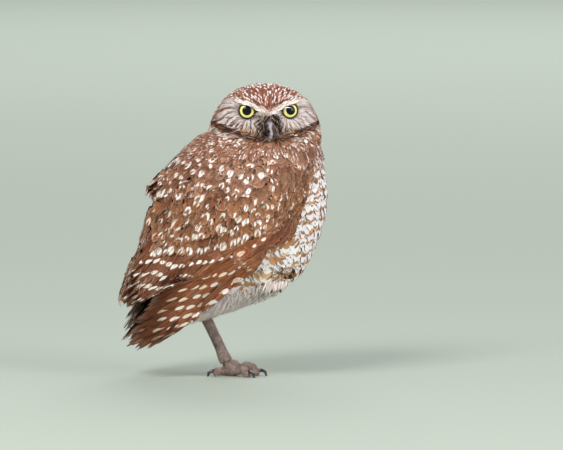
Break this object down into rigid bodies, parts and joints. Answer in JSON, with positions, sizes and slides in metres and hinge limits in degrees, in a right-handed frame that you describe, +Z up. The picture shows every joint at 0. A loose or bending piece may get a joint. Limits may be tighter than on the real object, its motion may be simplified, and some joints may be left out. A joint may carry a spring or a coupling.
{
  "type": "burrowing owl",
  "caption": "Life-size burrowing owl standing on its left leg, right foot drawn up into the belly, head turned over the right side.",
  "frame": {"origin": "middle of the standing foot's sole, on the surface that the owl stands on", "axes": "+X is where the breast points, +Y is the owl's left, +Z is up; the face looks almost along -Y"},
  "size_m": [0.1556, 0.1058, 0.2179],
  "materials": {
    "crown_plumage": "soft brown feathers with pale spots",
    "brown_plumage": "soft brown feathers with white spots",
    "pale_plumage": "soft white feathers barred with cinnamon brown",
    "flight_feathers": "firm smooth feathers with rows of buff spots",
    "leg_skin": "fine scales and short pale bristles",
    "bill_horn": "smooth grey horn, slightly glossy",
    "claw_horn": "smooth black horn, glossy",
    "eye": "wet and clear, with a yellow iris and black pupil"
  },
  "bodies": {
    "root": {"head": "crown_plumage", "eye_right": "eye", "eye_left": "eye", "bill_upper": "bill_horn", "bill_lower": "bill_horn", "neck": "brown_plumage", "trunk": "pale_plumage", "tail": "flight_feathers", "leg_left_thigh": "pale_plumage", "leg_left_shank": "leg_skin", "leg_right": "pale_plumage", "foot_right": "leg_skin", "claw_right_1": "claw_horn", "claw_right_2": "claw_horn", "claw_right_3": "claw_horn", "wing_right_coverts": "brown_plumage", "wing_left_coverts": "brown_plumage", "wing_right_secondaries": "flight_feathers", "wing_left_secondaries": "flight_feathers", "wing_right_primaries": "flight_feathers", "wing_left_primaries": "flight_feathers", "foot_left_sole": "leg_skin", "toe_left_middle": "leg_skin", "claw_left_middle": "claw_horn", "toe_left_inner": "leg_skin", "claw_left_inner": "claw_horn", "toe_left_outer": "leg_skin", "claw_left_outer": "claw_horn", "toe_left_hallux": "leg_skin", "claw_left_hallux": "claw_horn"}
  },
  "joints": []
}
